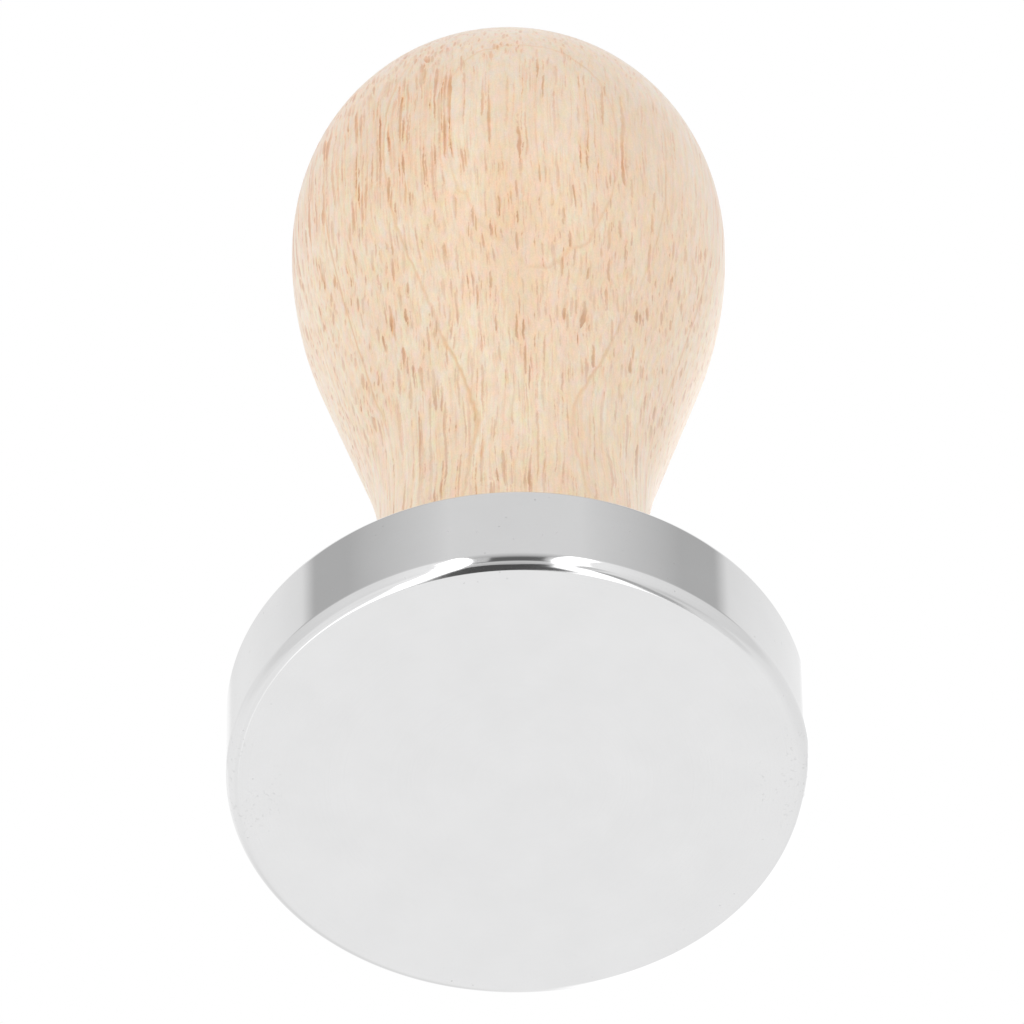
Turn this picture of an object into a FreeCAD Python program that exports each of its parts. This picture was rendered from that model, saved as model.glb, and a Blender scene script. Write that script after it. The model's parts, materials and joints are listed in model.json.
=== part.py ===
"""Espresso tamper: a polished steel base with a turned wooden handle that unscrews from it.

Millimetres. The origin is the centre of the flat tamping face, and +Z runs up the handle.
Each function makes one physical piece and returns its solid, in place.
"""
import FreeCAD, Part
import math
import os

# Base: one turned piece, a thick disc with a collar that carries the handle.
base_diameter = 51.0
rim_height = 9.5
face_edge_radius = 1.1
rim_edge_radius = 0.6
collar_radius = 12.4
collar_fillet = 5.5
collar_edge_radius = 0.4
seat_height = 20.0
tapped_hole_depth = 12.0
drill_point_angle = 118.0

# Thread that joins base and handle: M8, coarse pitch.
thread_pitch = 1.25
thread_crest_radius = 3.95
thread_root_radius = 3.35
thread_crest_flat = 0.16
stud_end_chamfer = 0.6
stud_depth_in_base = 11.0
bore_clearance = 0.10

# Washer between the steel collar and the wooden foot.
washer_thickness = 0.5
washer_inset = 0.5
washer_bore_radius = 4.4

# Brass insert in the handle, with a coarse outer thread that bites into the wood.
insert_length = 15.0
insert_recess = 0.5
insert_crest_radius = 5.9
insert_root_radius = 5.2
insert_pitch = 2.5
insert_crest_flat = 0.4
insert_hole_gap = 0.1
insert_hex_across_flats = 9.0
insert_hex_depth = 3.0

# Handle: straight neck, a flare into a cone, and a pear-shaped bulb with a full dome.
neck_radius = 12.0
neck_flare_radius = 40.0
cone_angle = 15.8
bulb_flank_radius = 51.2
bulb_radius = 19.9
bulb_centre_height = 72.8
dome_height = 21.3
dome_fullness = 0.601
foot_edge_radius = 0.8
socket_spare_depth = 2.0

base_radius = base_diameter / 2
foot_height = seat_height + washer_thickness
insert_bottom = foot_height + insert_recess
insert_top = insert_bottom + insert_length
stud_top = insert_top + 0.2
drill_slope = math.tan(math.radians(90 - drill_point_angle / 2))


def point(radius, height):
    """A point of a turned outline, in the half plane that is revolved about Z."""
    return FreeCAD.Vector(radius, 0, height)


def line(start, end):
    return Part.LineSegment(point(*start), point(*end)).toShape()


def arc(start, end, centre):
    """The shorter circular arc from start to end about centre."""
    first = math.atan2(start[1] - centre[1], start[0] - centre[0])
    last = math.atan2(end[1] - centre[1], end[0] - centre[0])
    turn = (last - first + math.pi) % (2 * math.pi) - math.pi
    radius = math.dist(start, centre)
    middle_angle = first + turn / 2
    middle_radius = centre[0] + radius * math.cos(middle_angle)
    middle_height = centre[1] + radius * math.sin(middle_angle)
    middle = point(middle_radius, middle_height)
    return Part.Arc(point(*start), middle, point(*end)).toShape()


def turned(edges):
    """The solid that a closed outline of connected edges sweeps about Z."""
    outline = Part.Wire(edges)
    solid = Part.Face(outline).revolve(FreeCAD.Vector(0, 0, 0), FreeCAD.Vector(0, 0, 1), 360)
    return Part.Solid(solid.Shells[0])


def polyline(points):
    """Straight edges through a list of (radius, height) corners."""
    return [line(a, b) for a, b in zip(points, points[1:])]


def thread_corners(bottom, top, pitch, crest, root, crest_flat):
    """Corners up the outside of a threaded rod, its thread drawn as rings one pitch apart."""
    flank = crest - root
    slope = flank * math.tan(math.radians(30))
    corners = []
    count = int((top - bottom) / pitch)
    start = bottom + ((top - bottom) - count * pitch) / 2
    for turn in range(count):
        middle = start + (turn + 0.5) * pitch
        corners.append((root, middle - crest_flat / 2 - slope))
        corners.append((crest, middle - crest_flat / 2))
        corners.append((crest, middle + crest_flat / 2))
        corners.append((root, middle + crest_flat / 2 + slope))
    return corners


def make_tamper_base():
    """Steel disc with a flat face, a rounded rim and a filleted collar with a blind tapped hole."""
    hole_radius = thread_crest_radius + bore_clearance
    hole_bottom = seat_height - tapped_hole_depth
    hole_tip = hole_bottom - hole_radius * drill_slope
    wall = base_radius
    fillet_end = collar_radius + collar_fillet
    fillet_top = rim_height + collar_fillet
    collar_top = seat_height - collar_edge_radius
    seat_edge = collar_radius - collar_edge_radius
    edges = [
        line((0, 0), (wall - face_edge_radius, 0)),
        arc((wall - face_edge_radius, 0), (wall, face_edge_radius),
            (wall - face_edge_radius, face_edge_radius)),
        line((wall, face_edge_radius), (wall, rim_height - rim_edge_radius)),
        arc((wall, rim_height - rim_edge_radius), (wall - rim_edge_radius, rim_height),
            (wall - rim_edge_radius, rim_height - rim_edge_radius)),
        line((wall - rim_edge_radius, rim_height), (fillet_end, rim_height)),
        arc((fillet_end, rim_height), (collar_radius, fillet_top), (fillet_end, fillet_top)),
        line((collar_radius, fillet_top), (collar_radius, collar_top)),
        arc((collar_radius, collar_top), (seat_edge, seat_height), (seat_edge, collar_top)),
        line((seat_edge, seat_height), (hole_radius, seat_height)),
        line((hole_radius, seat_height), (hole_radius, hole_bottom)),
        line((hole_radius, hole_bottom), (0, hole_tip)),
        line((0, hole_tip), (0, 0)),
    ]
    return turned(edges)


def make_handle_stud():
    """M8 steel stud, fixed in the base, with chamfered ends."""
    bottom = seat_height - stud_depth_in_base
    end_radius = thread_crest_radius - stud_end_chamfer
    corners = [(0, bottom), (end_radius, bottom)]
    corners += thread_corners(bottom + stud_end_chamfer, stud_top - stud_end_chamfer, thread_pitch,
                              thread_crest_radius, thread_root_radius, thread_crest_flat)
    corners += [(end_radius, stud_top), (0, stud_top), (0, bottom)]
    return turned(polyline(corners))


def make_seat_washer():
    """Thin flat washer, set in a little from the collar's edge."""
    washer_radius = neck_radius - washer_inset
    corners = [
        (washer_bore_radius, seat_height),
        (washer_radius, seat_height),
        (washer_radius, foot_height),
        (washer_bore_radius, foot_height),
        (washer_bore_radius, seat_height),
    ]
    return turned(polyline(corners))


def make_threaded_insert():
    """Brass sleeve with a coarse outer thread and a hexagonal key socket at its mouth."""
    bore_radius = thread_crest_radius + bore_clearance
    corners = [(bore_radius, insert_bottom), (insert_root_radius, insert_bottom)]
    corners += thread_corners(insert_bottom, insert_top, insert_pitch,
                              insert_crest_radius, insert_root_radius, insert_crest_flat)
    corners += [(insert_root_radius, insert_top), (bore_radius, insert_top)]
    corners += [(bore_radius, insert_bottom)]
    sleeve = turned(polyline(corners))
    corner_radius = insert_hex_across_flats / math.sqrt(3)
    hexagon = []
    for corner in range(7):
        angle = math.radians(60 * corner)
        x = corner_radius * math.cos(angle)
        y = corner_radius * math.sin(angle)
        hexagon.append(FreeCAD.Vector(x, y, insert_bottom))
    key_socket = Part.Face(Part.makePolygon(hexagon)).extrude(FreeCAD.Vector(0, 0, insert_hex_depth))
    return sleeve.cut(key_socket).Solids[0]


def make_handle():
    """Turned wooden handle: straight neck, hollow flare, cone, round bulb flank and a full dome."""
    bulb_base = (bulb_radius, bulb_centre_height)
    flank_centre = (bulb_radius - bulb_flank_radius, bulb_centre_height)
    cone = math.radians(cone_angle)
    cone_top = (flank_centre[0] + bulb_flank_radius * math.cos(cone),
                bulb_centre_height - bulb_flank_radius * math.sin(cone))
    flare_width = neck_radius + neck_flare_radius * (1 - math.cos(cone))
    cone_foot = (flare_width, cone_top[1] - (cone_top[0] - flare_width) / math.tan(cone))
    neck_top = cone_foot[1] - neck_flare_radius * math.sin(cone)
    flare_centre = (neck_radius + neck_flare_radius, neck_top)
    top = bulb_centre_height + dome_height
    dome = Part.BezierCurve()
    dome.setPoles([
        point(bulb_radius, bulb_centre_height),
        point(bulb_radius, bulb_centre_height + dome_fullness * dome_height),
        point(dome_fullness * bulb_radius, top),
        point(0, top),
    ])
    socket_radius = insert_crest_radius + insert_hole_gap
    socket_top = insert_top + socket_spare_depth
    socket_tip = socket_top + socket_radius * drill_slope
    foot_edge = neck_radius - foot_edge_radius
    foot_side = foot_height + foot_edge_radius
    edges = [
        line((socket_radius, foot_height), (foot_edge, foot_height)),
        arc((foot_edge, foot_height), (neck_radius, foot_side), (foot_edge, foot_side)),
        line((neck_radius, foot_side), (neck_radius, neck_top)),
        arc((neck_radius, neck_top), cone_foot, flare_centre),
        line(cone_foot, cone_top),
        arc(cone_top, bulb_base, flank_centre),
        dome.toShape(),
        line((0, top), (0, socket_tip)),
        line((0, socket_tip), (socket_radius, socket_top)),
        line((socket_radius, socket_top), (socket_radius, foot_height)),
    ]
    return turned(edges)


pieces = {
    "tamper_base": make_tamper_base,
    "handle_stud": make_handle_stud,
    "seat_washer": make_seat_washer,
    "threaded_insert": make_threaded_insert,
    "handle": make_handle,
}

os.makedirs("parts", exist_ok=True)
for name, make in pieces.items():
    shape = make()
    if not shape.isValid() or shape.Volume <= 0:
        raise ValueError(f"{name} is not a sound solid")
    shape.exportStep(f"parts/{name}.step")
    box = shape.optimalBoundingBox()
    print(f"{name}: {shape.Volume:.1f} mm3, z {box.ZMin:.2f} to {box.ZMax:.2f}, {box.XLength:.2f} across")
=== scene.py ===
"""Espresso tamper: the looks of its polished steel base and turned wooden handle."""

import json
import math
from types import SimpleNamespace

import bmesh
import bpy
from mathutils import Matrix, Vector


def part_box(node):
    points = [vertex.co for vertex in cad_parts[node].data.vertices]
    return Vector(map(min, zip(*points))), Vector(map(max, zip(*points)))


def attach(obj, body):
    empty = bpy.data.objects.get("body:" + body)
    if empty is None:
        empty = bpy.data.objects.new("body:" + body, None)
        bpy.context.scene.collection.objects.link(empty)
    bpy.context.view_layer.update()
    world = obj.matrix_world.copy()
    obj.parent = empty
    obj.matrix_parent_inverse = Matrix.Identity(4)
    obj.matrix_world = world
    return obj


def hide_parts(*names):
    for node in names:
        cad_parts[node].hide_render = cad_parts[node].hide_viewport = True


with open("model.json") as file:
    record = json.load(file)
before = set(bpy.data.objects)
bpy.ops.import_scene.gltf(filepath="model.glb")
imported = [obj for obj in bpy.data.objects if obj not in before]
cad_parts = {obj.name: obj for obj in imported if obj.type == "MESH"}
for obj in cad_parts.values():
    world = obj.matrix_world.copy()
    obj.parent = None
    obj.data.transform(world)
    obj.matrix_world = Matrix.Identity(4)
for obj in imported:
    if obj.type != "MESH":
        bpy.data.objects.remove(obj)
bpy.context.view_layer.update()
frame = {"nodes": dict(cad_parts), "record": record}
scene = bpy.context.scene

mm = 0.001
degree = math.pi / 180

# ---------------------------------------------------------------- sizes, from the frame where it has them
seat_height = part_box("tamper_base")[1].z
stud_low, stud_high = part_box("handle_stud")
washer_low, washer_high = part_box("seat_washer")
handle_low, handle_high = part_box("handle")
basket_fit = next(m for m in frame["record"]["mounts"] if m["name"] == "basket_fit")

# A drill's point rises 0.6 for each 1 of radius.
drill_slope = 0.6

base_radius = basket_fit["dims"]["r_mm"] * mm
rim_height = 9.5 * mm
face_edge = 1.1 * mm
rim_edge = 0.6 * mm
collar_radius = 12.4 * mm
collar_fillet = 5.5 * mm
collar_edge = 0.4 * mm
hole_radius = 4.05 * mm
hole_bottom = 8.0 * mm
hole_tip = hole_bottom - hole_radius * drill_slope

foot_height = handle_low.z
handle_top = handle_high.z
bulb_radius = handle_high.x
bulb_height = 72.8 * mm
flank_radius = 51.2 * mm
cone = 15.8 * degree
flare_radius = 40.0 * mm
neck_radius = 12.0 * mm
dome_fullness = 0.601
foot_edge = 0.8 * mm
socket_radius = 6.0 * mm
socket_top = 38.0 * mm
socket_tip = socket_top + socket_radius * drill_slope

thread_pitch = 1.25 * mm
thread_flat = 0.14
crest_radius = stud_high.x
root_radius = 3.35 * mm
stud_chamfer = 0.6 * mm
washer_bore = 4.4 * mm
washer_radius = washer_high.x
washer_edge = 0.1 * mm

# Straight stretches get an extra ring of points this near each end, so that their shading stays flat.
beside = 0.05 * mm

base_sides = 288
handle_sides = 256
washer_sides = 192
stud_sides = 72
floor_sides = 96

body_of = {node: body for body, nodes in frame["record"]["behaviour"]["bodies"].items() for node in nodes}


# ---------------------------------------------------------------- turned shapes
def straight(start, end, steps):
    """Points from start up to, but not including, end."""
    return [(start[0] + (end[0] - start[0]) * i / steps,
             start[1] + (end[1] - start[1]) * i / steps) for i in range(steps)]


def arc(centre, radius, first, last, steps):
    """Points along an arc from angle first up to, but not including, angle last, in degrees."""
    points = []
    for i in range(steps):
        angle = (first + (last - first) * i / steps) * degree
        points.append((centre[0] + radius * math.cos(angle), centre[1] + radius * math.sin(angle)))
    return points


def bezier(a, b, c, d, steps):
    """Points along a cubic curve from a up to, but not including, d."""
    points = []
    for i in range(steps):
        t = i / steps
        s = 1 - t
        weights = (s * s * s, 3 * s * s * t, 3 * s * t * t, t * t * t)
        points.append(tuple(sum(w * p[k] for w, p in zip(weights, (a, b, c, d))) for k in (0, 1)))
    return points


def mesh_object(name, build):
    """An object whose mesh build(bm) makes, smooth except at its corners."""
    corner = 30 * degree
    mesh = bpy.data.meshes.new(name)
    bm = bmesh.new()
    build(bm)
    bmesh.ops.recalc_face_normals(bm, faces=bm.faces)
    for face in bm.faces:
        face.smooth = True
    for edge in bm.edges:
        if len(edge.link_faces) == 2 and edge.calc_face_angle() > corner:
            edge.smooth = False
    bm.to_mesh(mesh)
    bm.free()
    piece = bpy.data.objects.new(name, mesh)
    scene.collection.objects.link(piece)
    return piece


def ring(bm, radius_at, sides, height):
    """A ring of vertices about Z, where radius_at(share) is the radius at a share of the turn."""
    vertices = []
    for side in range(sides):
        radius = radius_at(side / sides)
        angle = 2 * math.pi * side / sides
        vertices.append(bm.verts.new((radius * math.cos(angle), radius * math.sin(angle), height)))
    return vertices


def skin(bm, low, high):
    """The faces between two rings, either of which may be one vertex on the axis."""
    sides = max(len(low), len(high))
    for side in range(sides):
        after = (side + 1) % sides
        if len(low) == 1:
            bm.faces.new((low[0], high[after], high[side]))
        elif len(high) == 1:
            bm.faces.new((low[side], low[after], high[0]))
        else:
            bm.faces.new((low[side], low[after], high[after], high[side]))


def turn(outline, sides, closed=False):
    """A builder for the surface that an outline of (radius, height) points sweeps about Z."""
    def build(bm):
        rings = []
        for radius, height in outline:
            if radius == 0:
                rings.append([bm.verts.new((0, 0, height))])
            else:
                rings.append(ring(bm, lambda share: radius, sides, height))
        pairs = list(zip(rings, rings[1:]))
        if closed:
            pairs.append((rings[-1], rings[0]))
        for low, high in pairs:
            skin(bm, low, high)
    return build


def stand_for(piece, node, material):
    """The piece takes the place of a CAD node, on that node's body and with the given material."""
    piece.data.materials.append(material)
    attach(piece, body_of[node])
    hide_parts(node)


# ---------------------------------------------------------------- node helpers
class Nodes:
    """A short way to write a node tree: each call adds a node and returns its output socket."""

    def __init__(self, tree):
        self.tree = tree
        tree.nodes.clear()

    def add(self, kind, **settings):
        node = self.tree.nodes.new(kind)
        for key, value in settings.items():
            setattr(node, key, value)
        return node

    def put(self, socket, value):
        if isinstance(value, bpy.types.NodeSocket):
            self.tree.links.new(value, socket)
        else:
            socket.default_value = value

    def math(self, operation, *values, clamp=False):
        node = self.add("ShaderNodeMath", operation=operation, use_clamp=clamp)
        for socket, value in zip(node.inputs, values):
            self.put(socket, value)
        return node.outputs[0]

    def product(self, *values):
        result = values[0]
        for value in values[1:]:
            result = self.math("MULTIPLY", result, value)
        return result

    def vector(self, operation, *values):
        node = self.add("ShaderNodeVectorMath", operation=operation)
        for socket, value in zip(node.inputs, values):
            self.put(socket, value)
        return node.outputs[0]

    def length(self, vector):
        node = self.add("ShaderNodeVectorMath", operation="LENGTH")
        self.put(node.inputs[0], vector)
        return node.outputs["Value"]

    def scaled(self, vector, x, y, z):
        return self.vector("MULTIPLY", vector, (x, y, z))

    def split(self, vector):
        node = self.add("ShaderNodeSeparateXYZ")
        self.put(node.inputs[0], vector)
        return node.outputs

    def join(self, x, y, z):
        node = self.add("ShaderNodeCombineXYZ")
        for socket, value in zip(node.inputs, (x, y, z)):
            self.put(socket, value)
        return node.outputs[0]

    def from_axis(self, place):
        """The distance from the Z axis."""
        return self.length(self.scaled(place, 1, 1, 0))

    def step(self, value, low, high):
        """A smooth step from 0 at low to 1 at high; low may be the larger."""
        node = self.add("ShaderNodeMapRange", interpolation_type="SMOOTHSTEP")
        ends = (low, high, 0.0, 1.0) if low <= high else (high, low, 1.0, 0.0)
        self.put(node.inputs["Value"], value)
        for socket, end in zip(("From Min", "From Max", "To Min", "To Max"), ends):
            node.inputs[socket].default_value = end
        return node.outputs["Result"]

    def between(self, value, low, low_full, high_full, high):
        """1 from low_full to high_full, falling smoothly to 0 at low and at high."""
        return self.product(self.step(value, low, low_full), self.step(value, high, high_full))

    def remap(self, value, low, high, to_low, to_high):
        """A straight run from to_low at low to to_high at high, held level outside."""
        node = self.add("ShaderNodeMapRange")
        self.put(node.inputs["Value"], value)
        for socket, end in zip(("From Min", "From Max", "To Min", "To Max"), (low, high, to_low, to_high)):
            node.inputs[socket].default_value = end
        return node.outputs["Result"]

    def mix(self, share, a, b):
        """A blend of two colours."""
        node = self.add("ShaderNodeMix", data_type="RGBA")
        self.put(node.inputs["Factor"], share)
        self.put(node.inputs[6], a)
        self.put(node.inputs[7], b)
        return node.outputs[2]

    def blend(self, share, a, b):
        """A blend of two numbers."""
        node = self.add("ShaderNodeMix", data_type="FLOAT")
        self.put(node.inputs[0], share)
        self.put(node.inputs[2], a)
        self.put(node.inputs[3], b)
        return node.outputs[0]

    def scaled_where(self, share, value, factor):
        """The value, times factor where share is 1."""
        return self.product(value, self.blend(share, 1.0, factor))

    def noise(self, vector, scale, detail=2.0, roughness=0.5, output="Fac"):
        node = self.add("ShaderNodeTexNoise")
        self.put(node.inputs["Vector"], vector)
        node.inputs["Scale"].default_value = scale
        node.inputs["Detail"].default_value = detail
        node.inputs["Roughness"].default_value = roughness
        return node.outputs[output]

    def cells(self, vector, scale, dimensions="3D"):
        """Voronoi cells: the distance to the nearest centre, that cell's random colour, and its centre."""
        node = self.add("ShaderNodeTexVoronoi", feature="F1", voronoi_dimensions=dimensions)
        self.put(node.inputs["Vector"], vector)
        node.inputs["Scale"].default_value = scale
        return node.outputs["Distance"], node.outputs["Color"], node.outputs["Position"]

    def bump(self, height, strength, distance):
        node = self.add("ShaderNodeBump")
        node.inputs["Strength"].default_value = strength
        node.inputs["Distance"].default_value = distance
        self.put(node.inputs["Height"], height)
        return node.outputs[0]

    def ramp(self, value, stops):
        """Straight runs through (value, result) stops."""
        node = self.add("ShaderNodeValToRGB")
        first, last = stops[0][0], stops[-1][0]
        self.put(node.inputs[0], self.remap(value, first, last, 0.0, 1.0))
        ramp = node.color_ramp
        while len(ramp.elements) < len(stops):
            ramp.elements.new(0.5)
        for element, (at, result) in zip(ramp.elements, stops):
            element.position = (at - first) / (last - first)
            element.color = (result, result, result, 1)
        return node.outputs["Color"]


def new_material(name):
    material = bpy.data.materials.new(name)
    material.use_nodes = True
    nodes = Nodes(material.node_tree)
    shader = nodes.add("ShaderNodeBsdfPrincipled")
    output = nodes.add("ShaderNodeOutputMaterial")
    nodes.tree.links.new(shader.outputs[0], output.inputs[0])
    return material, nodes, shader.inputs


def in_millimetres(nodes):
    """The point on the piece, in millimetres."""
    node = nodes.add("ShaderNodeVectorMath", operation="SCALE")
    nodes.tree.links.new(nodes.add("ShaderNodeTexCoord").outputs["Object"], node.inputs[0])
    node.inputs["Scale"].default_value = 1 / mm
    return node.outputs[0]


def grey(value):
    return (value, value, value, 1)


# ---------------------------------------------------------------- metal and rubber
def polished_steel():
    """Mirror polished stainless steel: faint cloudy polish, turning marks, and a few pits near the edge."""
    steel_grey = 0.780
    pit_darkness = 0.10
    scuff_darkness = 0.06

    material, nodes, shader = new_material("polished_steel")
    place = in_millimetres(nodes)
    x, y, z = nodes.split(place)
    radius = nodes.from_axis(place)
    clouds = nodes.noise(place, 0.16, 3.0, 0.55)
    marks = nodes.noise(nodes.join(radius, z, 0.0), 6.0, 2.0, 0.6)
    pit_distance, pit_colour, _ = nodes.cells(place, 1.6)
    pit_size = nodes.remap(nodes.split(pit_colour)[0], 0.75, 1.0, 0.0, 0.16)
    pits = nodes.math("LESS_THAN", pit_distance, pit_size)
    pits = nodes.product(pits, nodes.step(radius, 21.5, 24.0))

    # Fine scuffs, bunched towards the left and right edges of the face.
    scuff_noise = nodes.noise(nodes.scaled(place, 2.6, 1.7, 2.0), 1.0, 2.0, 0.7)
    scuff_patch = nodes.noise(nodes.scaled(place, 0.35, 0.18, 0.30), 1.0, 1.0, 0.5)
    scuffs = nodes.product(
        nodes.step(scuff_noise, 0.58, 0.66),
        nodes.step(scuff_patch, 0.44, 0.54),
        nodes.step(nodes.math("ABSOLUTE", x), 20.3, 21.3),
        nodes.step(nodes.math("ABSOLUTE", y), 7.0, 4.0),
        nodes.step(z, 1.6, 0.8))

    tone = nodes.remap(clouds, 0.3, 0.7, -0.012, 0.012)
    tone = nodes.math("ADD", tone, nodes.remap(marks, 0.3, 0.7, -0.006, 0.006))
    tone = nodes.math("SUBTRACT", tone, nodes.product(pits, pit_darkness))
    tone = nodes.math("SUBTRACT", tone, nodes.product(scuffs, scuff_darkness))
    light = nodes.math("ADD", tone, steel_grey)
    nodes.put(shader["Base Color"], nodes.join(light, light, nodes.product(light, 1.004)))
    shader["Metallic"].default_value = 1.0
    rough = nodes.remap(clouds, 0.3, 0.7, 0.055, 0.085)
    nodes.put(shader["Roughness"], nodes.math("ADD", rough, nodes.product(pits, 0.2)))
    return material


def thread_steel():
    """Bright rolled steel of the stud, clouded in places with an oil film, and darker in the roots of the
    thread.
    """
    root_grey = grey(0.30)
    crest_grey = grey(0.62)
    oil_film = (0.45, 0.43, 0.40, 1)

    material, nodes, shader = new_material("stud_steel")
    place = in_millimetres(nodes)
    crest = nodes.remap(nodes.from_axis(place), root_radius / mm, crest_radius / mm, 0.0, 1.0)
    clouds = nodes.noise(place, 0.9, 3.0, 0.6)
    colour = nodes.mix(crest, root_grey, crest_grey)
    colour = nodes.mix(nodes.remap(clouds, 0.4, 0.7, 0.0, 0.25), colour, oil_film)
    nodes.put(shader["Base Color"], colour)
    shader["Metallic"].default_value = 1.0
    nodes.put(shader["Roughness"], nodes.remap(clouds, 0.3, 0.7, 0.22, 0.36))
    return material


def brass():
    """Machined brass of the insert, slightly dulled, with turning rings on its end."""
    bright_brass = (0.83, 0.60, 0.27, 1)
    dull_brass = (0.60, 0.40, 0.17, 1)

    material, nodes, shader = new_material("insert_brass")
    place = in_millimetres(nodes)
    height = nodes.split(place)[2]
    rings = nodes.noise(nodes.join(nodes.from_axis(place), height, 0.0), 7.0, 2.0, 0.6)
    dull = nodes.noise(place, 0.7, 3.0, 0.6)
    colour = nodes.mix(nodes.remap(dull, 0.4, 0.7, 0.0, 0.5), bright_brass, dull_brass)
    nodes.put(shader["Base Color"], colour)
    shader["Metallic"].default_value = 1.0
    nodes.put(shader["Roughness"], nodes.remap(rings, 0.3, 0.7, 0.22, 0.38))
    nodes.put(shader["Normal"], nodes.bump(rings, 0.2, 0.01 * mm))
    return material


def washer_rubber():
    """Matt black rubber, a little dusty."""
    black = grey(0.022)
    dusty = grey(0.075)

    material, nodes, shader = new_material("washer_rubber")
    dust = nodes.noise(in_millimetres(nodes), 2.2, 4.0, 0.65)
    nodes.put(shader["Base Color"], nodes.mix(nodes.remap(dust, 0.45, 0.75, 0.0, 0.5), black, dusty))
    nodes.put(shader["Roughness"], nodes.remap(dust, 0.3, 0.7, 0.62, 0.82))
    nodes.put(shader["Normal"], nodes.bump(dust, 0.3, 0.02 * mm))
    return material


# ---------------------------------------------------------------- wood
# Colours of the ground, from pale to dark, then of painted shade, of the top's end grain and shade, and of
# the lines between rings.
cream = (0.950, 0.812, 0.612, 1)
tan = (0.918, 0.700, 0.485, 1)
peach = (0.930, 0.655, 0.425, 1)
blush = (0.940, 0.705, 0.560, 1)
# Painted shade: a darker colour laid over the upper part and the right side of the handle, where less light
# falls.
painted_shade = (0.700, 0.570, 0.475, 1)
# The top's end grain, greyer, with painted shade where less light falls.
top_end_grain_and_shade = (0.700, 0.590, 0.530, 1)
line_brown = (0.800, 0.470, 0.220, 1)

# Colours of the vessels, from the stained wood round them to their cores.
stain_orange = (0.930, 0.590, 0.310, 1)
edge_orange = (0.900, 0.460, 0.170, 1)
edge_pink = (0.800, 0.450, 0.260, 1)
core_red = (0.540, 0.200, 0.065, 1)
core_brown = (0.500, 0.205, 0.085, 1)


def warped_wood(nodes):
    """Two warped copies of the piece's space, in millimetres: the sheets, in which growth rings lie flat, and
    the grain, which wanders a little more. Both lean a little towards the front of the handle."""
    place = in_millimetres(nodes)
    lean = 0.07

    def wander(across, along, amount):
        """A smooth sideways drift, its scales given per millimetre."""
        drift = nodes.noise(nodes.scaled(place, across, across, along), 1.0, 1.0, 0.5, "Color")
        return nodes.scaled(nodes.vector("SUBTRACT", drift, (0.5, 0.5, 0.5)), amount, amount, 0.0)

    x, y, z = nodes.split(place)
    sheets = nodes.join(x, nodes.math("MULTIPLY_ADD", z, lean, y), z)
    for across, along, amount in ((0.06, 0.03, 1.3), (0.35, 0.12, 0.5), (1.1, 0.7, 0.22)):
        sheets = nodes.vector("ADD", sheets, wander(across, along, amount))
    grain = nodes.vector("ADD", sheets, wander(0.30, 0.12, 0.6))
    return sheets, grain


def growth_rings(nodes, x, y, z):
    """Growth rings: near-flat sheets along the grain that bend outwards where the handle swells, and lie
    closer together in its front. Gives the depth towards the front and the share of a ring passed."""
    bulge = 1.6
    ring_depth = 8.7
    front_spacing = 3.0
    back_spacing = 6.5
    rings_behind = 20.0

    depth = nodes.math("ADD", nodes.product(x, 0.12), nodes.product(y, -0.99))
    depth = nodes.math("SUBTRACT", depth, nodes.product(nodes.step(z, 40.0, 74.0), bulge))
    past = nodes.math("SUBTRACT", depth, ring_depth)
    outer = nodes.product(nodes.math("MAXIMUM", past, 0.0), 1 / front_spacing)
    inner = nodes.product(nodes.math("MINIMUM", past, 0.0), 1 / back_spacing)
    count = nodes.math("ADD", outer, inner)
    phase = nodes.math("FRACT", nodes.math("ADD", count, rings_behind))
    return depth, phase


def wood_fields(nodes):
    """What the wood's colour depends on: the place in the sheets, growth rings, zones and noises."""
    sheets, grain = warped_wood(nodes)
    wood = SimpleNamespace(grain=grain)
    wood.x, y, wood.z = nodes.split(sheets)
    depth, wood.phase = growth_rings(nodes, wood.x, y, wood.z)
    wood.grain_z = nodes.split(grain)[2]

    # Parts of the handle: the heart of its front, its left shoulder, its quiet right side, its crown and top.
    wood.heart = nodes.product(nodes.step(depth, 8.2, 10.5), nodes.between(wood.z, 42.0, 53.0, 62.0, 74.0))
    wood.shoulder = nodes.product(nodes.step(wood.x, -1.0, -6.0), nodes.step(wood.z, 57.0, 70.0))
    wood.quiet = nodes.product(nodes.step(wood.x, 1.0, 7.0), nodes.step(wood.z, 56.0, 68.0))
    wood.crown = nodes.step(wood.z, 72.0, 79.0)
    wood.upper = nodes.step(wood.z, 52.0, 66.0)

    clusters = nodes.noise(nodes.scaled(grain, 1.3, 0.9, 0.13), 1.0, 2.0, 0.5)
    wood.warm = nodes.remap(clusters, 0.42, 0.62, 0.0, 1.0)
    wood.zones = nodes.noise(nodes.scaled(grain, 0.26, 0.26, 0.15), 1.0, 3.0, 0.65)
    wood.fibre = nodes.noise(nodes.scaled(grain, 3.2, 3.2, 0.08), 1.0, 3.0, 0.6)
    wood.broad = nodes.noise(nodes.scaled(sheets, 0.13, 0.13, 0.03), 1.0, 2.0, 0.5)
    wood.patches = nodes.noise(nodes.scaled(sheets, 0.12, 0.12, 0.05), 1.0, 2.0, 0.5)
    wood.mottle = nodes.split(nodes.noise(nodes.scaled(grain, 0.7, 0.7, 0.25), 1.0, 2.0, 0.55, "Color"))
    wood.speckle = nodes.noise(nodes.scaled(grain, 8.0, 8.0, 6.0), 1.0, 2.0, 0.6)
    ragged = nodes.noise(nodes.scaled(grain, 5.0, 2.5, 2.0), 1.0, 2.0, 0.6)
    wood.ragged = nodes.math("SUBTRACT", ragged, 0.5)
    return wood


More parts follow.
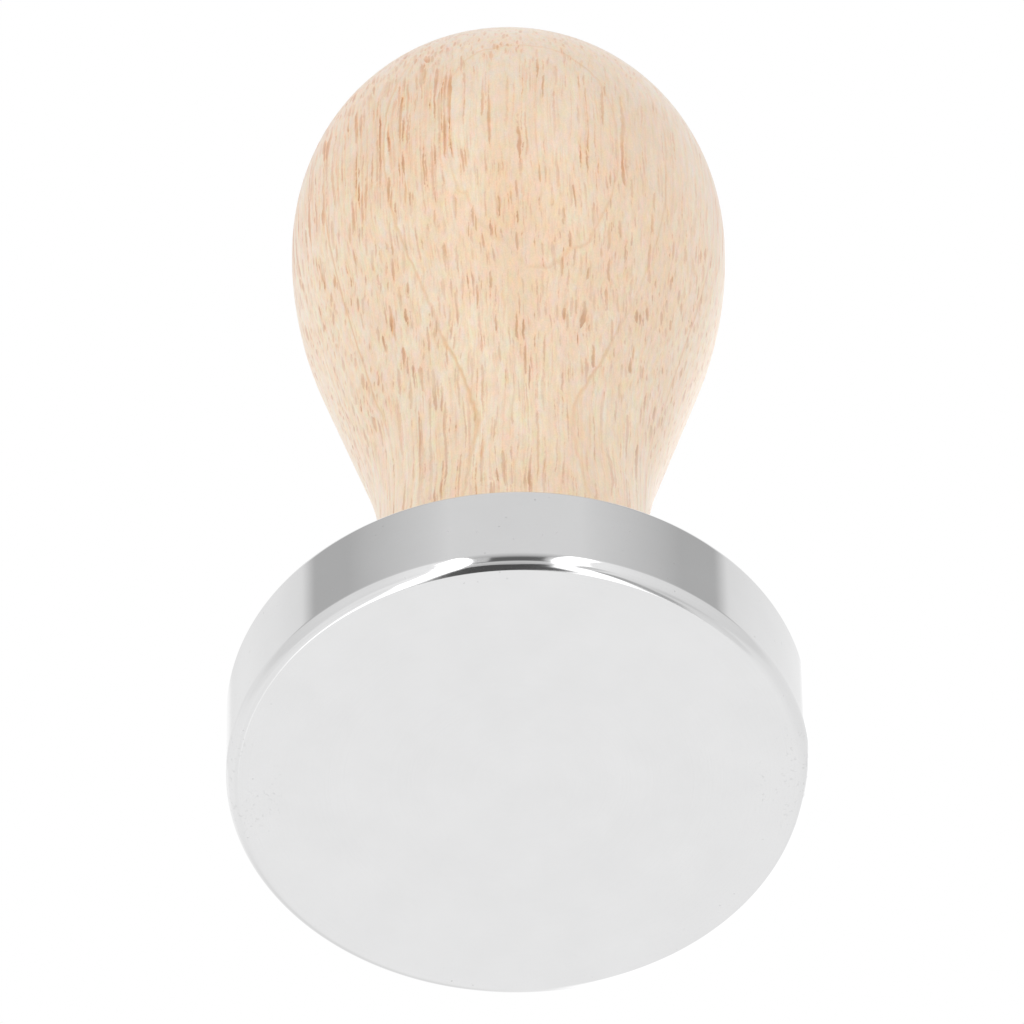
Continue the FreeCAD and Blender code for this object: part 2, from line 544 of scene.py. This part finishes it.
def vessels(nodes, wood, across, inward, narrowest, widest, softness):
    """Vessels per millimetre across and inward; their radii are shares of a cell. Gives each point's share of
    the vessel's dark core, of its edge and of the stained wood round it, and a random number."""
    run_scale = 0.15
    cell_spread = 70.0
    raggedness = 0.45
    stain_width = 0.34

    spot = nodes.scaled(wood.grain, across, inward, 0.0)
    distance, chance, centre = nodes.cells(spot, 1.0, "2D")
    one, two, three = nodes.split(chance)

    # Each vessel swells and closes along its run.
    run = nodes.join(nodes.product(one, cell_spread), nodes.product(two, cell_spread),
                     nodes.product(wood.grain_z, run_scale))
    life = nodes.noise(run, 1.0, 1.0, 0.5)
    size = nodes.product(
        nodes.remap(one, 0.0, 1.0, narrowest, widest),
        nodes.remap(life, 0.35, 0.60, 0.1, 1.2),
        nodes.remap(wood.shoulder, 0.0, 1.0, 1.0, 1.45))
    inside = nodes.math("MULTIPLY_ADD", wood.ragged, raggedness, nodes.math("SUBTRACT", distance, size))

    # The vessel's dark core is its own colour, set to one side as painted shade, as if the pore were lit from
    # the other side.
    aside = nodes.split(nodes.vector("SUBTRACT", spot, centre))[0]
    core = nodes.step(nodes.math("MULTIPLY_ADD", aside, 0.45, inside), 0.0, -softness)
    edge = nodes.step(inside, softness, -softness)
    stain = nodes.step(inside, stain_width, 0.0)
    strength = nodes.product(
        nodes.remap(three, 0.0, 1.0, 0.3, 1.0),
        nodes.remap(wood.warm, 0.0, 1.0, 0.55, 1.1))
    return SimpleNamespace(
        core=nodes.product(core, strength),
        edge=nodes.product(edge, strength),
        stain=nodes.product(stain, strength),
        tint=two)


def wood_ground(nodes, wood):
    """The wood between its vessels: cream to tan, blushes, warm streaks, ring lines, painted shade above."""
    tone = nodes.math("ADD", nodes.product(wood.phase, 0.25), nodes.remap(wood.broad, 0.35, 0.7, -0.2, 0.5))
    tone = nodes.math("ADD", tone, nodes.product(wood.heart, 0.50))
    tone = nodes.math("ADD", tone, nodes.remap(wood.x, -2.0, 12.0, 0.0, 0.25))
    tone = nodes.math("ADD", tone, nodes.remap(wood.zones, 0.38, 0.62, -0.25, 0.22))
    tone = nodes.math("ADD", tone, nodes.remap(wood.fibre, 0.35, 0.65, -0.3, 0.3), clamp=True)
    colour = nodes.mix(tone, cream, tan)
    colour = nodes.mix(nodes.remap(wood.mottle[0], 0.45, 0.65, 0.0, 0.6), colour, blush)
    colour = nodes.mix(nodes.product(wood.warm, 0.45), colour, peach)
    # Painted shade: the upper part of the handle darker, where less light falls.
    colour = nodes.mix(nodes.product(nodes.step(wood.z, 58.0, 78.0), 0.34), colour, painted_shade)
    before_line = nodes.step(wood.phase, 0.975, 1.0)
    after_line = nodes.step(wood.phase, 0.035, 0.0)
    ring_line = nodes.math("ADD", before_line, after_line, clamp=True)
    ring_line = nodes.product(ring_line, nodes.remap(wood.patches, 0.35, 0.60, 0.15, 0.65))
    return nodes.mix(ring_line, colour, line_brown)


def paint_vessels(nodes, wood, colour, large, fine):
    """The large and fine vessels over the ground, stains first: strong on the shoulder, weak at the crown and
    on the quiet side."""
    strength = nodes.product(
        nodes.remap(wood.mottle[1], 0.35, 0.65, 0.6, 1.15),
        nodes.remap(wood.crown, 0.0, 1.0, 1.0, 0.7),
        nodes.remap(wood.shoulder, 0.0, 1.0, 1.0, 1.45),
        nodes.remap(wood.z, 38.0, 48.0, 0.95, 1.0),
        nodes.remap(wood.zones, 0.38, 0.62, 0.65, 1.25),
        nodes.remap(wood.quiet, 0.0, 1.0, 1.0, 0.88))
    edge_colour = nodes.mix(large.tint, edge_orange, edge_pink)
    core_colour = nodes.mix(wood.upper, core_brown, core_red)
    stain_colour = nodes.mix(wood.upper, peach, stain_orange)
    layers = (
        (fine.stain, 0.20, peach),
        (large.stain, 0.40, stain_colour),
        (fine.edge, 0.44, edge_pink),
        (large.edge, 0.55, edge_colour),
        (large.core, 0.53, core_colour),
    )
    for share, most, paint in layers:
        share = nodes.math("MULTIPLY", nodes.product(share, most), strength, clamp=True)
        colour = nodes.mix(share, colour, paint)
    return colour


def painted_shade_and_tint(nodes, wood, colour):
    """Painted shade at the top and right, then small changes of hue and brightness from fibre to fibre."""
    # The top greyer: its end grain, with painted shade where less light falls.
    colour = nodes.mix(nodes.product(nodes.step(wood.z, 80.0, 92.0), 0.40), colour, top_end_grain_and_shade)
    # Painted shade: the right side darker, as if the light came from the left.
    colour = nodes.mix(nodes.remap(wood.x, 0.0, 13.0, 0.0, 0.16), colour, painted_shade)
    hue = nodes.noise(nodes.scaled(wood.grain, 1.8, 1.8, 0.7), 1.0, 2.0, 0.6, "Color")
    hue = nodes.vector("ADD", nodes.scaled(hue, 0.25, 0.10, 0.45), (0.875, 0.95, 0.775))
    colour = nodes.vector("MULTIPLY", colour, hue)
    shine = nodes.remap(wood.speckle, 0.2, 0.8, 0.93, 1.07)
    return nodes.vector("MULTIPLY", colour, nodes.join(shine, shine, shine))


def lacquered_wood():
    """Pale hardwood under satin lacquer. The grain is solid: its vessels are tubes along Z, so they show as
    streaks where the surface runs along them, as dashes where it slopes and as dots where it cuts across."""
    material, nodes, shader = new_material("lacquered_wood")
    wood = wood_fields(nodes)
    large = vessels(nodes, wood, across=3.0, inward=1.25, narrowest=0.10, widest=0.40, softness=0.10)
    fine = vessels(nodes, wood, across=5.2, inward=2.3, narrowest=0.14, widest=0.46, softness=0.14)
    colour = wood_ground(nodes, wood)
    colour = paint_vessels(nodes, wood, colour, large, fine)
    nodes.put(shader["Base Color"], painted_shade_and_tint(nodes, wood, colour))

    dents = nodes.math("ADD", large.core, nodes.product(fine.core, 0.3), clamp=True)
    height = nodes.math("SUBTRACT", nodes.product(wood.fibre, 0.15), dents)
    nodes.put(shader["Normal"], nodes.bump(height, 0.25, 0.03 * mm))
    nodes.put(shader["Roughness"], nodes.remap(wood.fibre, 0.3, 0.7, 0.36, 0.46))
    shader["Coat Weight"].default_value = 0.60
    shader["Coat Roughness"].default_value = 0.36
    shader["Sheen Weight"].default_value = 0.12
    shader["Sheen Roughness"].default_value = 0.30
    shader["Sheen Tint"].default_value = (0.92, 0.96, 1.0, 1)
    return material


# ---------------------------------------------------------------- pieces
def make_base():
    """The turned steel base: flat face, straight side, filleted collar, and the blind hole for the stud."""
    wall = base_radius
    ring_gap = 1 * mm
    face_ring_gap = 3 * mm
    fillet_end = collar_radius + collar_fillet
    fillet_top = rim_height + collar_fillet
    side_top = rim_height - rim_edge
    collar_top = seat_height - collar_edge
    seat_edge = collar_radius - collar_edge

    outline = [(0, 0), (wall / 2, 0), (wall - face_edge - face_ring_gap, 0), (wall - face_edge - beside, 0)]
    outline += arc((wall - face_edge, face_edge), face_edge, -90, 0, 36)
    outline += [(wall, face_edge), (wall, face_edge + beside)]
    outline += straight((wall, face_edge + ring_gap), (wall, side_top - beside), 6)
    outline += [(wall, side_top - beside)]
    outline += arc((wall - rim_edge, side_top), rim_edge, 0, 90, 18)
    outline += [(wall - rim_edge, rim_height), (wall - rim_edge - beside, rim_height)]
    outline += straight((wall - rim_edge - ring_gap, rim_height), (fillet_end + beside, rim_height), 3)
    outline += [(fillet_end + beside, rim_height)]
    outline += arc((fillet_end, fillet_top), collar_fillet, -90, -180, 36)
    outline += [(collar_radius, fillet_top), (collar_radius, fillet_top + beside)]
    outline += straight((collar_radius, fillet_top + ring_gap), (collar_radius, collar_top - beside), 3)
    outline += [(collar_radius, collar_top - beside)]
    outline += arc((seat_edge, collar_top), collar_edge, 0, 90, 12)
    outline += [(seat_edge, seat_height), (seat_edge - beside, seat_height)]
    outline += [(hole_radius + beside, seat_height), (hole_radius, seat_height)]
    outline += [(hole_radius, hole_bottom), (0, hole_tip)]
    piece = mesh_object("turned_base", turn(outline, base_sides))
    stand_for(piece, "tamper_base", polished_steel())


def make_handle():
    """The turned wooden handle: socket, foot, straight neck, hollow flare, cone, bulb flank and full dome."""
    flank_centre = (bulb_radius - flank_radius, bulb_height)
    cone_top = (flank_centre[0] + flank_radius * math.cos(cone), bulb_height - flank_radius * math.sin(cone))
    flare_width = neck_radius + flare_radius * (1 - math.cos(cone))
    cone_foot = (flare_width, cone_top[1] - (cone_top[0] - flare_width) / math.tan(cone))
    neck_top = cone_foot[1] - flare_radius * math.sin(cone)
    flare_centre = (neck_radius + flare_radius, neck_top)
    slope = cone / degree
    dome = handle_top - bulb_height
    foot_inner = neck_radius - foot_edge
    foot_side = foot_height + foot_edge

    outline = [(0, socket_tip), (socket_radius, socket_top), (socket_radius, foot_height + beside)]
    outline += [(socket_radius, foot_height), (foot_inner - beside, foot_height)]
    outline += arc((foot_inner, foot_side), foot_edge, -90, 0, 14)
    outline += straight((neck_radius, foot_side), (neck_radius, neck_top), 12)
    outline += arc(flare_centre, flare_radius, 180, 180 - slope, 24)
    outline += straight(cone_foot, cone_top, 16)
    outline += arc(flank_centre, flank_radius, -slope, 0, 32)
    outline += bezier((bulb_radius, bulb_height), (bulb_radius, bulb_height + dome_fullness * dome),
                      (dome_fullness * bulb_radius, handle_top), (0, handle_top), 56)
    outline += [(0, handle_top)]
    piece = mesh_object("turned_handle", turn(outline, handle_sides))
    stand_for(piece, "handle", lacquered_wood())


def make_stud():
    """A rod whose radius follows the thread's profile as it winds up, with a chamfer at each end."""
    rows_per_pitch = 14
    length = stud_high.z - stud_low.z
    rows = int(length / thread_pitch * rows_per_pitch)

    def profile(phase):
        """The radius at a share of one pitch: root, flank, crest, flank."""
        away = abs(phase - 0.5) * 2
        share = min(max((1 - away - thread_flat) / (1 - 2 * thread_flat), 0), 1)
        return root_radius + (crest_radius - root_radius) * share

    def thread_ring(bm, row):
        rise = length * row / rows
        end = min(rise, length - rise)
        limit = crest_radius - stud_chamfer + min(end, stud_chamfer)
        return ring(bm, lambda share: min(profile((rise / thread_pitch - share) % 1), limit),
                    stud_sides, stud_low.z + rise)

    def build(bm):
        rings = [thread_ring(bm, row) for row in range(rows + 1)]
        for low, high in zip(rings, rings[1:]):
            skin(bm, low, high)
        skin(bm, [bm.verts.new((0, 0, stud_low.z))], rings[0])
        skin(bm, rings[-1], [bm.verts.new((0, 0, stud_high.z))])

    piece = mesh_object("threaded_stud", build)
    stand_for(piece, "handle_stud", thread_steel())


def make_washer():
    """The thin flat washer, with its outer edges just rounded."""
    low, high = washer_low.z, washer_high.z
    flat_end = washer_radius - washer_edge
    outline = [(washer_bore, low), (flat_end, low)]
    outline += arc((flat_end, low + washer_edge), washer_edge, -90, 0, 6)
    outline += arc((flat_end, high - washer_edge), washer_edge, 0, 90, 6)
    outline += [(flat_end, high), (washer_bore, high)]
    piece = mesh_object("flat_washer", turn(outline, washer_sides, closed=True))
    stand_for(piece, "seat_washer", washer_rubber())


def finish_insert():
    """The brass insert keeps its CAD mesh, with a machined finish."""
    insert = frame["nodes"]["threaded_insert"]
    insert.data.materials.clear()
    insert.data.materials.append(brass())


# ---------------------------------------------------------------- floor
def floor_material(lit_from, lit_radius):
    """Matt near the tamper, glowing white far from it, and clear from below."""
    material = bpy.data.materials.new("floor")
    material.use_nodes = True
    nodes = Nodes(material.node_tree)
    place = nodes.add("ShaderNodeTexCoord").outputs["Object"]
    speckle = nodes.noise(nodes.scaled(place, 1 / mm, 1 / mm, 1 / mm), 0.8, 3.0, 0.6)
    matt = nodes.add("ShaderNodeBsdfDiffuse")
    nodes.put(matt.inputs["Color"], nodes.mix(speckle, grey(0.885), grey(0.905)))
    glow = nodes.add("ShaderNodeEmission")
    glow.inputs["Strength"].default_value = 1.0
    above = nodes.add("ShaderNodeMixShader")
    nodes.put(above.inputs[0], nodes.step(nodes.length(place), lit_from, lit_radius))
    nodes.put(above.inputs[1], matt.outputs[0])
    nodes.put(above.inputs[2], glow.outputs[0])
    clear = nodes.add("ShaderNodeBsdfTransparent")
    sided = nodes.add("ShaderNodeMixShader")
    nodes.put(sided.inputs[0], nodes.add("ShaderNodeNewGeometry").outputs["Backfacing"])
    nodes.put(sided.inputs[1], above.outputs[0])
    nodes.put(sided.inputs[2], clear.outputs[0])
    output = nodes.add("ShaderNodeOutputMaterial")
    nodes.put(output.inputs[0], sided.outputs[0])
    return material


def make_floor():
    """A pale floor seen only from above: the tamper's face is looked at from below it."""
    floor_radius = 3.0
    lit_from = 0.25
    lit_radius = 1.2

    def build(bm):
        bm.faces.new(ring(bm, lambda share: floor_radius, floor_sides, 0))

    floor = mesh_object("floor", build)
    if floor.data.polygons[0].normal.z < 0:
        floor.data.flip_normals()
    floor.location.z = -0.02 * mm
    floor.data.materials.append(floor_material(lit_from, lit_radius))
    floor.visible_glossy = False
    floor.visible_shadow = False


# ---------------------------------------------------------------- studio, painted by direction
def room(nodes, to):
    """The room's own brightness by the angle round from the front, for its upper part and for the rest."""
    upper = nodes.ramp(to.turned, [(0, 0.79), (20, 0.85), (30, 0.77), (40, 0.70), (60, 0.58), (70, 0.50),
                                   (87, 0.50), (94, 0.86), (110, 0.92), (150, 0.95), (165, 1.00),
                                   (180, 1.05)])
    middle = nodes.ramp(to.turned, [(0, 1.0), (30, 1.02), (45, 0.90), (70, 0.82), (88, 0.80), (98, 0.91),
                                    (140, 0.97), (180, 1.0)])
    return nodes.blend(nodes.step(to.z, 0.50, 0.72), middle, upper)


def back_and_sides(nodes, to, light):
    """Broad differences in the room: a bright back at the right, and parts of the left lighter or darker."""
    far_left = nodes.product(nodes.step(to.turned, 130, 165), nodes.step(to.x, 0.02, -0.1),
                             nodes.step(to.z, -0.55, -0.15))
    light = nodes.scaled_where(far_left, light, 0.88)

    back_edge = nodes.ramp(to.z, [(-0.75, 0.88), (-0.55, 0.80), (-0.40, 0.73), (-0.20, 0.70), (0.03, 0.645),
                                  (0.20, 0.60), (0.45, 0.59), (0.75, 0.612)])
    back_right = nodes.step(nodes.math("SUBTRACT", to.y, back_edge), -0.03, 0.03)
    back_right = nodes.product(back_right, nodes.step(to.x, 0.02, 0.08))
    light = nodes.blend(back_right, light, 1.35)

    back_left = nodes.product(nodes.step(to.y, 0.60, 0.64), nodes.step(to.x, 0.0, -0.05),
                              nodes.step(to.z, 0.10, 0.40))
    light = nodes.scaled_where(back_left, light, 1.12)

    low_left = nodes.product(nodes.step(to.x, 0.0, -0.1), nodes.step(to.z, -0.60, -0.75),
                             nodes.step(to.y, 0.15, 0.0))
    light = nodes.scaled_where(low_left, light, 1.15)

    far_side = nodes.product(nodes.step(to.x, -0.40, -0.60), nodes.step(to.z, 0.40, 0.20),
                             nodes.step(to.y, 0.20, 0.32))
    return nodes.scaled_where(far_side, light, 1.05)


def low_shadows(nodes, to, light):
    """Two shadows low at the right: a wedge about the direction that the face reflects, and a patch ahead."""
    face_y = 0.648
    bearing = nodes.math("ARCTAN2", to.x, nodes.math("SUBTRACT", face_y, to.y))
    wedge = nodes.product(nodes.between(bearing, 0.45, 0.60, 0.96, 1.03), nodes.step(to.z, -0.72, -0.86))
    light = nodes.scaled_where(wedge, light, 0.86)

    patch = nodes.product(nodes.step(to.turned, 42, 30), nodes.step(to.x, 0.20, 0.28),
                          nodes.step(to.z, -0.60, -0.70))
    return nodes.scaled_where(patch, light, 0.66)


def gap_ahead(nodes, to, light):
    """The gap between the panels: low down a grey beam, then a dark window with pale ends, lighter above."""
    pale_light = 0.62
    gap = nodes.product(nodes.step(to.past_inner, 0.01, -0.01), nodes.step(to.y, -0.1, -0.3))
    gap_light = nodes.ramp(to.z, [(-0.95, 0.25), (-0.88, 0.52), (-0.72, 0.68), (-0.64, 0.60), (-0.55, 0.14),
                                  (-0.1, 0.14), (0.02, 0.30), (0.25, 0.55), (0.5, 0.68), (0.76, 0.80)])
    window_end = nodes.blend(to.on_right, 0.138, nodes.math("MULTIPLY_ADD", to.z, 0.06, 0.185))
    pale_end = nodes.step(nodes.math("SUBTRACT", to.side, window_end), -0.01, 0.01)
    pale_end = nodes.product(pale_end, nodes.between(to.z, -0.60, -0.50, 0.10, 0.25))
    gap_light = nodes.blend(pale_end, gap_light, pale_light)
    return nodes.blend(gap, light, gap_light)


def panels(nodes, to, light):
    """Two long bright panels, each from an inner edge to an outer edge that depends on the height."""
    left_light = 3.2
    right_light = 2.2
    left_edge = nodes.ramp(to.z, [(-0.90, 0.36), (-0.45, 0.42), (0.25, 0.42), (0.44, 0.34), (0.62, 0.30)])
    right_edge = nodes.ramp(to.z, [(-0.90, 0.23), (-0.80, 0.25), (-0.70, 0.30), (-0.54, 0.38), (0.44, 0.44),
                                   (0.62, 0.36)])
    edge = nodes.blend(to.on_right, left_edge, right_edge)
    panel = nodes.product(
        nodes.step(to.past_inner, -0.01, 0.01),
        nodes.step(nodes.math("SUBTRACT", to.side, edge), 0.02, -0.02),
        nodes.step(to.y, -0.2, -0.3),
        nodes.step(to.z, 0.66, 0.5))
    return nodes.blend(panel, light, nodes.blend(to.on_right, left_light, right_light))


def unlit_end(nodes, to, light):
    """The unlit end low down: a dark wedge that narrows towards the back, between two bright strips, with a
    grey band outside the right one."""
    band_light = 0.46
    strip_light = 1.8
    unlit = 0.09

    off_middle = nodes.math("MINIMUM", to.side, 0.1)
    lowered = nodes.math("MULTIPLY_ADD", off_middle, -0.35, to.z)
    low = nodes.math("MAXIMUM", nodes.step(lowered, -0.895, -0.95), nodes.step(to.y, 0.10, 0.20))
    low = nodes.product(low, nodes.step(to.y, 0.625, 0.595), nodes.step(to.z, -0.78, -0.81))

    right_strip = nodes.ramp(to.y, [(-0.35, 0.275), (-0.07, 0.258), (0.136, 0.222), (0.33, 0.163),
                                    (0.505, 0.090), (0.62, 0.045)])
    left_strip = nodes.math("MULTIPLY_ADD", to.y, -0.35, 0.32)
    band_width = nodes.remap(to.y, 0.30, 0.55, 1.0, 0.25)
    band = nodes.math("DIVIDE", nodes.math("SUBTRACT", to.x, right_strip), band_width)
    band = nodes.product(nodes.step(band, 0.13, 0.06), low, to.on_right)
    light = nodes.blend(band, light, band_light)

    strip_edge = nodes.blend(to.on_right, left_strip, right_strip)
    strip = nodes.step(nodes.math("SUBTRACT", to.side, strip_edge), 0.015, -0.015)
    light = nodes.blend(nodes.product(low, strip), light, strip_light)

    left_core = nodes.ramp(to.y, [(-0.35, 0.19), (-0.1, 0.18), (0.1, 0.154), (0.3, 0.116), (0.48, 0.066),
                                  (0.62, 0.03)])
    right_core = nodes.ramp(to.y, [(-0.5, 0.16), (-0.3, 0.13), (-0.1, 0.105), (0.1, 0.102), (0.3, 0.084),
                                   (0.48, 0.038), (0.62, 0.01)])
    core_edge = nodes.blend(to.on_right, left_core, right_core)
    core = nodes.step(nodes.math("SUBTRACT", to.side, core_edge), 0.012, -0.012)
    return nodes.blend(nodes.product(low, core), light, unlit)


def back_slot(nodes, to, light):
    """A narrow bright slot low at the back left: the white line along the left edge of the face."""
    slot = nodes.product(
        nodes.between(to.x, -0.085, -0.07, -0.046, -0.038),
        nodes.step(to.z, -0.66, -0.72),
        nodes.between(to.y, 0.575, 0.60, 0.65, 0.665))
    return nodes.blend(slot, light, 1.25)


def make_world():
    """A white studio, painted by direction. The tamper's mirror finish reflects it, and the camera sees plain
    white. Behind the tamper it is a bright half. In front it is a greyer room with two long panels, a gap
    with a dark window between them, and an unlit end low down."""
    world = bpy.data.worlds.new("studio")
    scene.world = world
    world.use_nodes = True
    nodes = Nodes(world.node_tree)
    to = SimpleNamespace()
    to.x, to.y, to.z = nodes.split(nodes.add("ShaderNodeTexCoord").outputs["Generated"])
    to.side = nodes.math("ABSOLUTE", to.x)
    to.turned = nodes.product(nodes.math("ARCTAN2", to.side, nodes.product(to.y, -1.0)), 1 / degree)
    to.on_right = nodes.math("GREATER_THAN", to.x, 0.0)
    inner_edge = nodes.blend(to.on_right, nodes.math("MULTIPLY_ADD", to.z, 0.035, 0.245),
                             nodes.math("MULTIPLY_ADD", to.z, 0.08, 0.235))
    to.past_inner = nodes.math("SUBTRACT", to.side, inner_edge)

    light = room(nodes, to)
    for paint in (back_and_sides, low_shadows, gap_ahead, panels, unlit_end, back_slot):
        light = paint(nodes, to, light)
    seen = nodes.add("ShaderNodeLightPath").outputs["Is Camera Ray"]
    light = nodes.blend(seen, light, 1.0)
    background = nodes.add("ShaderNodeBackground")
    nodes.put(background.inputs["Color"], nodes.join(light, light, light))
    output = nodes.add("ShaderNodeOutputWorld")
    nodes.put(output.inputs[0], background.outputs[0])


# ---------------------------------------------------------------- camera
def make_camera():
    """The camera stands low in front of the tamper and looks up at its face."""
    elevation = -49.58 * degree
    roll = -1.1 * degree
    distance = 1.0
    aim_right = -0.58 * mm
    aim_up = 23.58 * mm
    back = Vector((0, -math.cos(elevation), math.sin(elevation)))
    level_right = Vector((1, 0, 0))
    level_up = back.cross(level_right)
    right = level_right * math.cos(roll) + level_up * math.sin(roll)
    up = -level_right * math.sin(roll) + level_up * math.cos(roll)
    data = bpy.data.cameras.new("camera")
    data.sensor_width = 36.0
    data.lens = 403.6
    data.clip_start = 0.05
    data.clip_end = 20
    camera = bpy.data.objects.new("camera", data)
    scene.collection.objects.link(camera)
    axes = Matrix((right, up, back)).transposed().to_4x4()
    camera.matrix_world = Matrix.Translation(right * aim_right + up * aim_up + back * distance) @ axes
    scene.camera = camera


make_base()
make_handle()
make_stud()
make_washer()
finish_insert()
make_floor()
make_world()
make_camera()
scene.view_settings.view_transform = "Standard"
